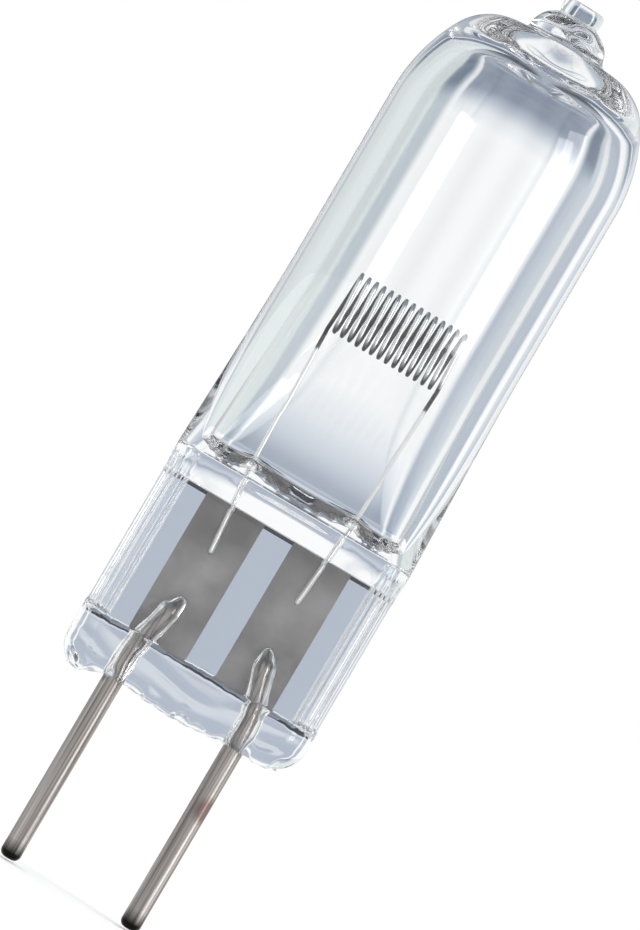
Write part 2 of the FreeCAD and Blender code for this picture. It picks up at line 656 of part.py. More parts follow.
# Rounded floor of the gas space: ovals that close in as a quarter round does
floor_sections = []
for step, turn in enumerate(FLOOR_TURNS):
    sunk = f"(floor_radius * {1 - math.sin(math.radians(turn)):.6f})"
    inset = f"(floor_radius * {1 - math.cos(math.radians(turn)):.6f})"
    floor_sections.append(oval(
        hollow, f"floor_step_{step}", f"({CAVITY_FLOOR} + {sunk})", f"({throat_width} - {inset})",
        f"({throat_depth} - {inset})", f"({SIDE_SHARE} * ({throat_depth} - {inset}))"))
floor_round = hollow.newObject("PartDesign::AdditiveLoft", "floor_round")
floor_round.Profile = floor_sections[0]
floor_round.Sections = floor_sections[1:]
doc.recompute()

# Quartz envelope: the blank less its gas space, melted shut round the metal that runs through the seal
shell = doc.addObject("Part::Cut", "quartz_shell")
shell.Base = blank
shell.Tool = hollow
sealed_metal = doc.addObject("Part::MultiFuse", "sealed_metal")
sealed_metal.Shapes = [left_pin, right_pin, left_foil, right_foil, filament]
envelope = doc.addObject("Part::Cut", "quartz_envelope")
envelope.Base = shell
envelope.Tool = sealed_metal
doc.recompute()

# Sub-parts, checked and written one file each
SUBPARTS = (envelope, filament, left_foil, right_foil, left_pin, right_pin)
for item in doc.Objects:
    if "Invalid" in item.State or "Error" in item.State:
        raise RuntimeError(f"{item.Label} did not rebuild: {item.State}")
for item in SUBPARTS:
    if item.Shape.isNull() or not item.Shape.isValid():
        raise RuntimeError(f"{item.Label} has no valid shape")
    if len(item.Shape.Solids) != 1:
        raise RuntimeError(f"{item.Label} has {len(item.Shape.Solids)} solids")
os.makedirs("parts", exist_ok=True)
for item in SUBPARTS:
    item.Shape.exportStep(f"parts/{item.Label}.step")
    print(item.Label, round(item.Shape.Volume, 3), "mm3")
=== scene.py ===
import math

import bpy
import numpy as np
from mathutils import Matrix, Vector


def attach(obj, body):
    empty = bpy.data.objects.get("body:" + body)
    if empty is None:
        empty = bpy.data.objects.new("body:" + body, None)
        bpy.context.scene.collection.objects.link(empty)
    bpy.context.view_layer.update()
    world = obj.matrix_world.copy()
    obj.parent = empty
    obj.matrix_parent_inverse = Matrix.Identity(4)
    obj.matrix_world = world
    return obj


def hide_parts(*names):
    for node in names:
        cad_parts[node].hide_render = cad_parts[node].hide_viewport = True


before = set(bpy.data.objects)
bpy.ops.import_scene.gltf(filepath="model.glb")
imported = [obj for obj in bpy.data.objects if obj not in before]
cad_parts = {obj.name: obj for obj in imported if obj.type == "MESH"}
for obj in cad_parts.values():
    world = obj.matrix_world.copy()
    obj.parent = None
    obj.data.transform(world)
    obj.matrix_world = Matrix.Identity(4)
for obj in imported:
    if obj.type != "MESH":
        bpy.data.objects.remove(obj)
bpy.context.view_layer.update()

# Quartz envelope: one piece of fused quartz tube, domed and tipped off at the top and pressed flat into
# the pinch seal below. Rings are stacked up the axis, and the gas space and the hairline gaps round the
# sealed metal are voids in the same mesh. Sizes are millimetres until the mesh is made.
millimetre = 0.001
full_turn = 2 * math.pi
half_width = 6.125
rail_half = 1.9
lip_half = 1.65
panel_edge = 4.925
lip_top = 2.35
pinch_top = 10.93
neck_top = 20.8
tube_radius = 5.868
wall = 1.15
dome_base = 29.78
dome_top = 35.18

# Each ring has a point for each of these directions of its outward normal, so rings of any form match up
side_count = 97
face_count = 80
side_span = 86.4
side_turns = np.linspace(-side_span, side_span, side_count)
face_turns = np.linspace(side_span, 180 - side_span, face_count + 2)[1:-1]
normal_turns = np.radians(np.concatenate((side_turns, face_turns, side_turns + 180, face_turns + 180)))
normals = np.column_stack((np.cos(normal_turns), np.sin(normal_turns)))
ring_size = len(normal_turns)
end_roundness = 0.93
slow_start = 0.02
early_flare = 1.3


def oval_ring(wide, thick):
    """Points round a flat oval of four tangent arcs, from its half width and half thickness."""
    side = end_roundness * thick
    reach = wide - side
    face = (reach ** 2 + thick ** 2 - side ** 2) / (2 * (thick - side))
    drop = face - thick
    meet = math.atan2(drop, reach)
    cosine, sine = normals.T
    on_face = np.abs(sine) > math.sin(meet)
    x = np.where(on_face, face * cosine, side * cosine + np.sign(cosine) * reach)
    y = np.where(on_face, face * sine - np.sign(sine) * drop, side * sine)
    return np.column_stack((x, y))


def soft_step(low, high, value):
    """0 below low, 1 above high, smooth between."""
    share = np.clip((value - low) / (high - low), 0, 1)
    return share * share * (3 - 2 * share)


def hump(middle, reach, value):
    """1 at the middle, falling smoothly to nearly nothing two reaches away."""
    return np.exp(-((value - middle) / reach) ** 2)


def waves(place, *terms):
    """Sum of sine waves along a place, each stated as its height, rate and phase."""
    return sum(height * np.sin(rate * place + phase) for height, rate, phase in terms)


def opened(height):
    """How far the neck's section has opened at a height, from the flat pinch to the round tube."""
    share = min(max((height - pinch_top) / (neck_top - pinch_top), 0), 1)
    share = share ** 2 / (share + slow_start) * (1 + slow_start)
    return 1 - (1 - share) ** early_flare


slab = oval_ring(half_width, rail_half)
slab_x = slab[:, 0]


def neck_ring(height, inset):
    """The neck's section at a height, closed in by an inset: part flat slab, part round tube."""
    share = opened(height)
    return slab * (1 - share) + normals * (tube_radius * share - inset)


def level_ring(ring, level):
    """A ring of points that all lie at one level."""
    return np.column_stack((ring, np.full(ring_size, level)))


def lower_edge(x):
    """Height of the broken lower edge of the pinch across its width."""
    across = (-6.2, -5.6, -5.0, -4.2, -3.7, -2.5, -1.2, 0, 1.2, 2.5, 3.7, 4.5, 5.3, 6.2)
    level = (-0.30, -0.36, -0.34, -0.12, 0.06, 0.08, -0.07, -0.13, -0.06, 0.1, 0.04, 0.02, 0.1, 0.24)
    return np.interp(x, across, level) + waves(x, (0.014, 5.3, 0.4), (0.006, 13.1, 0))


# Levels of the rings up the pinch: they follow the broken edge, then the ragged groove, then lie flat
edge_level = lower_edge(slab_x)
edge_zone_top = 1.2
edge_shares = (0, 0.02, 0.05, 0.09, 0.14, 0.2, 0.28, 0.37, 0.47, 0.58, 0.7, 0.85)
ring_levels = [edge_level + (edge_zone_top - edge_level) * share for share in edge_shares]
lip_levels = (
    1.2, 1.33, 1.46, 1.6, 1.73, 1.86, 2.0, 2.1, 2.2, 2.26, 2.3, 2.34, 2.38, 2.42, 2.46, 2.5, 2.56, 2.7)
panel_levels = (3.0, 3.3, *np.linspace(3.5, 5.1, 17), 5.5, 6.5, 7.5)
bar_ring_levels = (
    8.3, 8.8, 9.1, 9.3, 9.34, 9.36, 9.39, 9.44, 9.5, 9.56, 9.58, 9.595, 9.61, 9.63, 9.66, 9.71, 9.76,
    9.83, 9.9, 10.0, 10.12, 10.3, 10.5, 10.65, 10.75, 10.82, 10.86, 10.9, 10.93, 10.96, 11.0, 11.05,
    11.12, 11.25)
groove_middle = 2.38
groove_zone = 0.35
ragged = waves(slab_x, (0.025, 1.7, 1), (0.012, 11.3, 0), (0.008, 29, 0))
for level in lip_levels + panel_levels:
    ring_levels.append(level + ragged * hump(groove_middle, groove_zone, level))
ring_levels += [np.full(ring_size, level) for level in bar_ring_levels]

# What the jaws and the flame leave on the pinch
panel_blend, lip_blend = 0.07, 0.05
inside_panel = 1 - soft_step(panel_edge - panel_blend, panel_edge + panel_blend, np.abs(slab_x))
bar_levels = (9.58, 9.6, 9.63, 9.68, 9.76, 10.3, 10.75, 10.85, 10.92, 10.96)
bar_depths = (1.4, 1.43, 1.465, 1.5, 1.535, 1.735, 1.885, 1.9, 1.89, 1.86)
notch_levels, notch_depths = (9.36, 9.58, 9.61), (0, 0.3, 0)
groove_levels, groove_depths = (2.15, 2.4, 2.43), (0, 0.27, 0)
bar_end = (10.9, 10.95)
bar_line_level, bar_line_reach, bar_line_depth = 10.95, 0.07, 0.1
side_line_place, side_line_reach, side_line_depth = panel_edge + 0.03, 0.05, 0.09
side_line_start, side_line_end = (2.4, 2.5), (10.7, 10.9)
fold_depth, fold_spacing, fold_curve = 0.022, 0.95, 0.04
fold_end = (1.7, 2.2)
crumple_places = ((-3.0, 4.25), (2.95, 4.25))
crumple_reach, crumple_depth, crumple_rays = 0.3, 0.05, 5
melt_height, melt_power = 1.3, 2.2
rim_depth, rim_sharpness = 0.12, 5
face_depth = 0.5
sag = 0.6 + waves(slab_x, (0.15, 2.3, 0.6), (0.08, 5.9, 0))
flute_depth = 0.05
flute_inner_edge = (5.0, 5.15)
flute_start, flute_end = (2.4, 2.7), (9.0, 10.8)
flutes = waves(slab_x, (0.032, full_turn / 0.25, 0), (0.018, full_turn / 0.41, 1.0)) - flute_depth
flutes *= soft_step(*flute_inner_edge, np.abs(slab_x))


def melted_inset(level):
    """How far the melted lower end of the pinch draws in at the levels of a ring."""
    above_edge = np.clip((level - edge_level) / melt_height, 0, 1)
    rim = 1 - np.clip(above_edge * rim_sharpness, 0, 1)
    return sag * (1 - above_edge) ** melt_power + rim_depth * rim ** 2


def jaw_cut(level, depth):
    """How much of a ring's depth the jaws press away, in the panel with its bar and in the lip below."""
    above_lip = soft_step(lip_top - lip_blend, lip_top + lip_blend, level - ragged)
    panel_cut = np.maximum(depth - np.interp(level, bar_levels, bar_depths), 0) * inside_panel * above_lip
    panel_cut *= 1 - soft_step(*bar_end, level)
    lip_cut = np.maximum(depth - lip_half, 0) * (1 - above_lip)
    return panel_cut + lip_cut


def creases(level):
    """Depth of the lines round the panel, the folds of the lip, the crumples by the pins and the groove."""
    crease = bar_line_depth * hump(bar_line_level, bar_line_reach, level) * inside_panel
    crease += np.interp(level, notch_levels, notch_depths) * inside_panel
    along_panel = soft_step(*side_line_start, level) * (1 - soft_step(*side_line_end, level))
    crease += side_line_depth * hump(side_line_place, side_line_reach, np.abs(slab_x)) * along_panel
    smile = level - fold_curve * slab_x ** 2 + waves(slab_x, (0.12, 1.3, 0.7))
    fold = fold_depth * (1 + waves(smile, (1, full_turn / fold_spacing, 0)))
    fold *= 1 + waves(slab_x, (0.7, 1.1, 2.2 * level))
    crease += fold * (1 - soft_step(*fold_end, level))
    for crumple_x, crumple_z in crumple_places:
        away_x, away_z = slab_x - crumple_x, level - crumple_z
        near = hump(0, crumple_reach, np.hypot(away_x, away_z))
        crease += crumple_depth * near * (1 + np.sin(crumple_rays * np.arctan2(away_z, away_x)))
    uneven = 0.85 + waves(slab_x, (0.15, 5.3, 0))
    return crease + np.interp(level - ragged, groove_levels, groove_depths) * uneven


outer_rings = []
for level in ring_levels:
    fluted = flutes * soft_step(*flute_start, level) * (1 - soft_step(*flute_end, level))
    points = neck_ring(float(np.max(level)), 0) + normals * (fluted - melted_inset(level))[:, None]
    depth = np.abs(points[:, 1])
    cut = jaw_cut(level, depth) + creases(level) * (depth > face_depth)
    points[:, 1] -= np.sign(points[:, 1]) * cut
    outer_rings.append(np.column_stack((points, level)))

# The neck, the tube, the dome and the melted tip
neck_base = 11.4
neck_rows = 28
for level in np.linspace(neck_base, neck_top, neck_rows):
    outer_rings.append(level_ring(neck_ring(level, 0), level))
shoulder_share = 0.8
flank_steps = 14
shoulder_steps = 16
tube_levels = np.linspace(neck_top + 0.4, dome_base, 4)


def dome_line(radius, flat, top):
    """Radius and height up a flank and a tight shoulder, from a straight wall to a flat top."""
    overhang = radius - flat
    rise = top - dome_base
    corner = shoulder_share * overhang
    flank = (overhang ** 2 + rise ** 2 - 2 * rise * corner) / (2 * (overhang - corner))
    meet = math.atan2(rise - corner, flat - radius + flank)
    line = []
    for angle in np.linspace(0, meet, flank_steps)[1:]:
        line.append((radius - flank * (1 - math.cos(angle)), dome_base + flank * math.sin(angle)))
    for angle in np.linspace(meet, math.pi / 2, shoulder_steps)[1:]:
        line.append((flat + corner * math.cos(angle), top - corner * (1 - math.sin(angle))))
    return line


dome_flat = 2.45
mound_middle, mound_width = 0.05, 1.87
mound_base, mound_height = dome_top + 0.1, 1.5
profile = [(tube_radius, level) for level in tube_levels]
profile += dome_line(tube_radius, dome_flat, dome_top)
profile += [(2.25, dome_top + 0.01), (2.08, dome_top + 0.05), (1.97, dome_top + 0.13)]
for angle in np.radians(np.linspace(4, 58, 11)):
    mound_radius = mound_middle + mound_width * math.cos(angle)
    profile.append((mound_radius, mound_base + mound_height * math.sin(angle)))
profile += [
    (0.98, 36.55), (0.96, 36.66), (1.0, 36.76), (1.02, 36.86), (1.02, 36.98), (1.015, 37.1), (0.98, 37.22),
    (0.9, 37.3), (0.78, 37.345), (0.55, 37.36), (0.28, 37.365), (0.08, 37.365)]
lumps_start, lumps_end = (35.3, 36.3), (37.2, 37.3)
tip_shift, shift_start = -0.1, (35.2, 35.6)
tip_slant, slant_start = -0.02, (36.6, 37.2)
for radius, level in profile:
    melted = soft_step(*lumps_start, level) * (1 - soft_step(*lumps_end, level))
    lumps = waves(normal_turns, (0.03, 3, 2 * level), (0.014, 4, -5 * level)) * melted
    ring = normals * radius * (1 + lumps)[:, None]
    shift = tip_shift * soft_step(*shift_start, level)
    slant = tip_slant * ring[:, 0] * soft_step(*slant_start, level)
    outer_rings.append(np.column_stack((ring[:, 0] + shift, ring[:, 1], level + slant)))


def skin(rings, inward):
    """Points and faces over stacked rings, with the last ring closed by a fan."""
    points = np.vstack(rings + [rings[-1].mean(0)[None]])
    index = np.arange(ring_size)
    ahead = np.roll(index, -1)
    faces = []
    for step in range(len(rings) - 1):
        low = step * ring_size
        high = low + ring_size
        faces += list(zip(low + index, low + ahead, high + ahead, high + index))
    last = (len(rings) - 1) * ring_size
    faces += list(zip(last + index, last + ahead, np.full(ring_size, len(points) - 1)))
    if inward:
        faces = [face[::-1] for face in faces]
    return points, faces


def close_floor(points, faces, floor_height, rows, inward):
    """Closes the first ring from front to back, with the height of each inner point from a rule."""
    points = list(map(tuple, points))
    columns = []
    for step in range(ring_size // 2 + 1):
        back = (side_count // 2 + step) % ring_size
        front = (side_count // 2 - step) % ring_size
        column = [front]
        for row in range(1, rows):
            if front == back:
                column.append(back)
                continue
            share = row / rows
            place = np.array(points[front]) * (1 - share) + np.array(points[back]) * share
            column.append(len(points))
            points.append((place[0], place[1], floor_height(place[0], 2 * share - 1, place[2])))
        columns.append(column + [back])
    for near, far in zip(columns, columns[1:]):
        for row in range(rows):
            corners = [near[row], far[row], far[row + 1], near[row + 1]]
            face = [corner for place, corner in enumerate(corners) if corner != corners[place - 1]]
            if len(face) > 2:
                faces.append(tuple(face[::-1]) if inward else tuple(face))
    return np.array(points), faces


end_rows = 12
end_hollow = 0.1
end_chips = 0.03


def lower_face(x, across, edge):
    """The lower end's face: shallow broken hollows between front and back."""
    return edge - end_hollow * (1 - across ** 2) + end_chips * math.sin(9 * x + 3 * across)


envelope = close_floor(*skin(outer_rings, False), lower_face, end_rows, False)

# The gas space, closed below by a floor that is drawn up round the filament's legs
bore_radius = tube_radius - wall
floor_level = 11.38
floor_round = 0.66
floor_rows = 14
floor_fullness = 1.35
swirl_depth, swirl_rate = 0.03, 22
shallowest = 0.35
crown_flat = 2.5
cavity_top = dome_top - 1.65
crown_sag = 0.3
sag_radius = 2.2
leg_place = 2.7
gas_rings = []
for level in np.linspace(floor_level + floor_round, neck_top, neck_rows):
    gas_rings.append(level_ring(neck_ring(level, wall), level))
bore = [(bore_radius, level) for level in tube_levels]
bore += dome_line(bore_radius, crown_flat, cavity_top)
for radius in np.linspace(crown_flat, 0.05, 16)[1:]:
    bore.append((radius, cavity_top - crown_sag * (1 - soft_step(0, sag_radius, radius))))
for radius, level in bore:
    gas_rings.append(level_ring(normals * radius, level))


def gas_floor(x, across, edge):
    """The gas space's floor: three hollows that rise to cusps where the filament's legs go down."""
    if abs(x) < leg_place:
        place = (x + leg_place) / (2 * leg_place)
    else:
        place = (abs(x) - leg_place) / (half_width - wall - leg_place)
    hollow = math.sqrt(max(math.sin(math.pi * min(place, 1)), 0))
    depth = shallowest + (1 - shallowest) * hollow
    swirl = swirl_depth * math.sin(swirl_rate * math.hypot(2 * place - 1, across))
    return edge - (floor_round + swirl) * depth * (1 - abs(across) ** floor_fullness)


gas_space = close_floor(*skin(gas_rings, True), gas_floor, floor_rows, True)


def tube_along(path, radii, sides, inward):
    """A closed tube of the stated radius at each point of a path."""
    heading = np.gradient(path, axis=0)
    heading /= np.linalg.norm(heading, axis=1)[:, None]
    aside = np.cross(heading, (0.0, 1.0, 0.0))
    aside /= np.linalg.norm(aside, axis=1)[:, None]
    depth = np.cross(aside, heading)
    turn = np.linspace(0, full_turn, sides, endpoint=False)
    rings = []
    for place, to_side, to_depth, radius in zip(path, aside, depth, radii):
        rings.append(place + radius * (np.outer(np.cos(turn), to_side) + np.outer(np.sin(turn), to_depth)))
    points = np.vstack(rings + [path[:1], path[-1:]])
    hub = len(points) - 2
    last = (len(rings) - 1) * sides
    faces = []
    for step in range(sides):
        ahead = (step + 1) % sides
        for low in range(0, last, sides):
            faces.append((low + step, low + sides + step, low + sides + ahead, low + ahead))
        faces.append((step, ahead, hub))
        faces.append((last + ahead, last + step, hub + 1))
    if inward:
        faces = [face[::-1] for face in faces]
    return points, faces


pin_place = 3.175
bend_start = 1.3
bend_radius = 2.0
pin_lean = math.radians(16.1)


def pin_line(side, heights):
    """Points up the middle of a contact pin: straight, then bent inward to its foil."""
    bend_rise = bend_radius * math.sin(pin_lean)
    bent = np.clip(heights - bend_start, 0, bend_rise)
    shift = bend_radius - np.sqrt(bend_radius ** 2 - bent ** 2)
    shift += np.maximum(heights - bend_start - bend_rise, 0) * math.tan(pin_lean)
    return np.column_stack((side * (pin_place - shift), np.zeros(len(heights)), heights))


# Hairline sheaths round the sealed pins and legs
sheath_low, sheath_high = 0.1, 4.85
sheath_rows, sheath_sides = 50, 36
sheath_radius = 0.58
open_taper, closed_taper, least_taper = 0.1, 0.9, 0.05
open_lead, closed_lead = 0.01, 0.05
leg_low, leg_high = 7.1, 11.45
leg_rows, leg_sides = 30, 16
leg_depth = 0.34
leg_gap_radius, leg_gap_end = 0.14, 0.05
weld_height, weld_place = 7.2, 2.28
seal_height = 12.13
parts = [envelope, gas_space]
for side in (-1, 1):
    rise = np.linspace(sheath_low, sheath_high, sheath_rows)
    open_end = np.clip((rise - sheath_low + open_lead) / open_taper, least_taper, 1)
    closed_end = np.clip((sheath_high + closed_lead - rise) / closed_taper, least_taper, 1)
    radii = sheath_radius * np.sqrt(open_end) * np.sqrt(closed_end)
    sheath_points, sheath_faces = tube_along(pin_line(side, rise), radii, sheath_sides, True)
    around = np.tile(np.linspace(0, full_turn, sheath_sides, endpoint=False), sheath_rows)
    around = np.append(around, (0, 0))
    height = sheath_points[:, 2]
    wrinkle = waves(around, (0.02, 3, 2.1 * height + side), (0.014, 7, -3.7 * height))
    middle = pin_line(side, np.clip(height, sheath_low, sheath_high))
    sheath_points[:, :2] += (sheath_points - middle)[:, :2] * wrinkle[:, None]
    parts.append((sheath_points, sheath_faces))
    rise = np.linspace(leg_low, leg_high, leg_rows)
    across = np.interp(rise, (weld_height, seal_height), (weld_place, leg_place))
    leg_line = np.column_stack((side * across, np.full(leg_rows, leg_depth), rise))
    radii = np.full(leg_rows, leg_gap_radius)
    radii[[0, -1]] = leg_gap_end
    parts.append(tube_along(leg_line, radii, leg_sides, True))
quartz_points = np.vstack([part_points for part_points, part_faces in parts]) * millimetre
quartz_faces = []
start = 0
for part_points, part_faces in parts:
    quartz_faces += [tuple(int(corner) + start for corner in face) for face in part_faces]
    start += len(part_points)


def fill(tree, node, inputs):
    """Links the named inputs of a node to sockets, or sets them to values."""
    for name, value in inputs.items():
        if isinstance(value, bpy.types.NodeSocket):
            tree.links.new(value, node.inputs[name])
        else:
            node.inputs[name].default_value = value


def add_node(tree, kind, inputs, **settings):
    """A new node with its settings and inputs; returns its outputs."""
    node = tree.nodes.new(kind)
    for name, value in settings.items():
        setattr(node, name, value)
    fill(tree, node, inputs)
    return node.outputs


def new_group(name, kind, inputs, outputs):
    """A node group with named sockets; returns it, what it is given and what it has to return."""
    group = bpy.data.node_groups.new(name, kind)
    for in_out, sockets in (("INPUT", inputs), ("OUTPUT", outputs)):
        for socket_name, socket_kind in sockets.items():
            group.interface.new_socket(socket_name, in_out=in_out, socket_type="NodeSocket" + socket_kind)
    return group, group.nodes.new("NodeGroupInput").outputs, group.nodes.new("NodeGroupOutput")


def new_material(name):
    """A material with nodes; returns it, its tree and its object coordinates."""
    material = bpy.data.materials.new(name)
    material.use_nodes = True
    tree = material.node_tree
    return material, tree, tree.nodes.new("ShaderNodeTexCoord").outputs["Object"]


def add_object(name, points, faces, material, smooth):
    """A mesh object of one material in the scene."""
    mesh = bpy.data.meshes.new(name)
    mesh.from_pydata(points, [], faces)
    mesh.polygons.foreach_set("use_smooth", np.full(len(mesh.polygons), smooth))
    mesh.update()
    mesh.materials.append(material)
    thing = bpy.data.objects.new(name, mesh)
    bpy.context.scene.collection.objects.link(thing)
    return thing


# Fine lines along the axis, left by drawing, on the quartz tube and on the pins
drawn_sockets = {"Vector": "Vector", "Across": "Float", "Along": "Float", "Detail": "Float"}
drawn, given, result = new_group("drawn_lines", "ShaderNodeTree", drawn_sockets, {"Lines": "Float"})
stretch = add_node(
    drawn, "ShaderNodeCombineXYZ", {"X": given["Across"], "Y": given["Across"], "Z": given["Along"]})
stretched = add_node(
    drawn, "ShaderNodeVectorMath", {0: given["Vector"], 1: stretch["Vector"]}, operation="MULTIPLY")
noise = add_node(
    drawn, "ShaderNodeTexNoise", {"Vector": stretched["Vector"], "Scale": 1.0, "Detail": given["Detail"]})
fill(drawn, result, {"Lines": noise["Fac"]})

quartz_material, tree, place = new_material("clear_quartz")
tube_lines = add_node(tree, "ShaderNodeGroup", {
    "Vector": place, "Across": 900.0, "Along": 25.0, "Detail": 1.0}, node_tree=drawn)
tube_bump = add_node(
    tree, "ShaderNodeBump", {"Strength": 1.0, "Distance": 2e-6, "Height": tube_lines["Lines"]})
fill(tree, tree.nodes["Principled BSDF"], {
    "Base Color": (0.972, 0.981, 0.986, 1.0), "Roughness": 0.0, "IOR": 1.458, "Transmission Weight": 1.0,
    "Normal": tube_bump["Normal"]})
quartz = add_object("quartz_glass", quartz_points, quartz_faces, quartz_material, True)
# Light turns many times inside thick quartz before it leaves
bpy.context.scene.cycles.max_bounces = 40
bpy.context.scene.cycles.glossy_bounces = 32
bpy.context.scene.cycles.transmission_bounces = 32
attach(quartz, "root")
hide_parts("quartz_envelope")

# Contact pins: drawn molybdenum rod, rounded and burnt black at the tip, the right one with a brown
# stain. They are bent inward at the top inside the seal and pressed flat where the foil is welded on.


def ramp(tree, value, low, high, stops, unit=1.0):
    """Colours graded between stops, each a level from low to high in the stated unit and the colour there."""
    share = add_node(
        tree, "ShaderNodeMapRange", {"Value": value, "From Min": low * unit, "From Max": high * unit})
    node = tree.nodes.new("ShaderNodeValToRGB")
    fill(tree, node, {"Fac": share["Result"]})
    while len(node.color_ramp.elements) < len(stops):
        node.color_ramp.elements.new(0.5)
    for element, (level, colour) in zip(node.color_ramp.elements, stops):
        element.position = (level - low) / (high - low)
        element.color = colour
    return node.outputs["Color"]


def mix(tree, blend, factor, first, second):
    """Two colours mixed by a factor, each a socket or a value."""
    inputs = {"Factor": factor, "A": first, "B": second}
    return add_node(tree, "ShaderNodeMix", inputs, data_type="RGBA", blend_type=blend)["Result"]


def axes(tree, vector):
    """The three parts of a vector."""
    return add_node(tree, "ShaderNodeSeparateXYZ", {"Vector": vector})


pin_dark, pin_pale = (0.14, 0.126, 0.118, 1), (0.56, 0.525, 0.5, 1)
burnt_black, stain_brown = (0.012, 0.011, 0.01, 1), (0.15, 0.085, 0.075, 1)
stain_place = (0.0036, -0.0004, -0.0031)
pin_material, tree, place = new_material("drawn_molybdenum")
streaks = add_node(tree, "ShaderNodeGroup", {
    "Vector": place, "Across": 9000.0, "Along": 90.0, "Detail": 4.0}, node_tree=drawn)
rod_tone = ramp(tree, streaks["Lines"], 0.0, 1.0, ((0.32, pin_dark), (0.68, pin_pale)))
stain_away = add_node(tree, "ShaderNodeVectorMath", {0: place, 1: stain_place}, operation="DISTANCE")
stain = add_node(tree, "ShaderNodeMapRange", {
    "Value": stain_away["Value"], "From Min": 0.0004, "From Max": 0.0008, "To Min": 0.75, "To Max": 0.0})
unburnt = add_node(
    tree, "ShaderNodeMapRange", {"Value": axes(tree, place)["Z"], "From Min": -0.0092, "From Max": -0.0085})
stained_tone = mix(tree, "MIX", stain["Result"], rod_tone, stain_brown)
pin_tone = mix(tree, "MIX", unburnt["Result"], burnt_black, stained_tone)
fill(tree, tree.nodes["Principled BSDF"], {"Base Color": pin_tone, "Metallic": 1.0, "Roughness": 0.32})

pin_sides = 40
pin_radius = 0.5
tip_level, tip_round, tip_narrowing = -9.5, 0.35, 0.3
sealed_narrowing = 0.04
end_start, end_length, end_narrowing = 3.9, 0.8, 0.24
flat_start, flat_depth = 2.1, 0.42
pin_top = 4.7
tip_rows, rod_rows, bend_rows = 14, 30, 40
rise = np.concatenate((
    np.linspace(tip_level, -9.1, tip_rows), np.linspace(-8.9, 1.2, rod_rows),
    np.linspace(bend_start, pin_top, bend_rows)))
near_tip = np.clip((rise - tip_level) / tip_round, 0, 1)
pin_radii = pin_radius - tip_narrowing * (1 - np.sqrt(1 - (1 - near_tip) ** 2))
pin_radii -= sealed_narrowing * soft_step(0, bend_start, rise)
pin_radii -= end_narrowing * np.clip((rise - end_start) / end_length, 0, 1) ** 2
for label, side in (("left_pin", -1), ("right_pin", 1)):
    pin_points, pin_faces = tube_along(pin_line(side, rise), pin_radii, pin_sides, False)
    welded = pin_points[:, 2] > flat_start
    pin_points[welded, 1] = np.minimum(pin_points[welded, 1], flat_depth)
    pin = add_object(label + "_rod", pin_points * millimetre, pin_faces, pin_material, True)
    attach(pin, "root")
    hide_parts(label)

# Sealing foils: thin molybdenum strips, mottled grey where the quartz has wetted them, with painted shade
# that makes them darker towards the top. They keep the solids' own shape.
foil_dark, foil_pale = (0.34, 0.33, 0.33, 1), (0.62, 0.6, 0.595, 1)
foil_shadow = (0.17, 0.155, 0.15, 1)
foil_material, tree, place = new_material("sealed_foil")
mottle = add_node(tree, "ShaderNodeTexNoise", {"Vector": place, "Scale": 330.0, "Detail": 5.0})
mottled_tone = ramp(tree, mottle["Fac"], 0.0, 1.0, ((0.35, foil_dark), (0.7, foil_pale)))
# Painted shade: the foils grow darker towards the top
shadowed = add_node(tree, "ShaderNodeMapRange", {
    "Value": axes(tree, place)["Z"], "From Min": 0.0062, "From Max": 0.0095, "To Max": 0.45})
foil_tone = mix(tree, "MIX", shadowed["Result"], mottled_tone, foil_shadow)
fill(tree, tree.nodes["Principled BSDF"], {"Base Color": foil_tone, "Metallic": 0.5, "Roughness": 0.5})
for label in ("left_foil", "right_foil"):
    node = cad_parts[label]
    node.data.materials.clear()
    node.data.materials.append(foil_material)

# Filament: one tungsten wire, wound flat round a bar, with a leg at each end welded to a foil. A node
# tree sets the corner points of the winding by rule, rounds them and runs the wire along the path.


def maths(tree, operation, *values):
    """The result of a maths node, from sockets or numbers."""
    return add_node(tree, "ShaderNodeMath", dict(enumerate(values)), operation=operation)["Value"]


def greys(*stops):
    """Stops of a ramp, each stated as its level and its grey."""
    return [(level, (grey, grey, grey, 1)) for level, grey in stops]


# Painted light and shade on the wire, by height: pale up the legs and the middle of the coil, dark at the
# bottom bends and darker over the top bends; round the coil, painted light at the front, painted shade at the
# back
shade_low, shade_high = 14, 22
shade_front, shade_back = -0.5, 0.5
height_light_and_shade_stops = greys(
    (shade_low, 0.9), (17.76, 0.9), (17.92, 0.08), (18.96, 0.04), (19.44, 0.85), (21.52, 0.85), (21.84, 0.08))
painted_front_light_back_shade_stops = greys((shade_front, 0.95), (-0.2, 0.8), (0.25, 0.1), (0.4, 0.08))
coil_base = 0.0186
wire_material, tree, place = new_material("tungsten_wire")
along = axes(tree, place)
# Painted light and shade by height, and painted light at the front and painted shade at the back of the coil
height_light_and_shade = ramp(tree, along["Z"], shade_low, shade_high, height_light_and_shade_stops, millimetre)
painted_front_light_back_shade = ramp(tree, along["Y"], shade_front, shade_back, painted_front_light_back_shade_stops, millimetre)
on_coil = maths(tree, "GREATER_THAN", along["Z"], coil_base)
# The painted front light and back shade darken only the coil above its base, not the legs
painted_wire_light_and_shade = mix(tree, "MULTIPLY", on_coil, height_light_and_shade, painted_front_light_back_shade)
fill(tree, tree.nodes["Principled BSDF"], {"Base Color": painted_wire_light_and_shade, "Metallic": 1.0, "Roughness": 0.2})

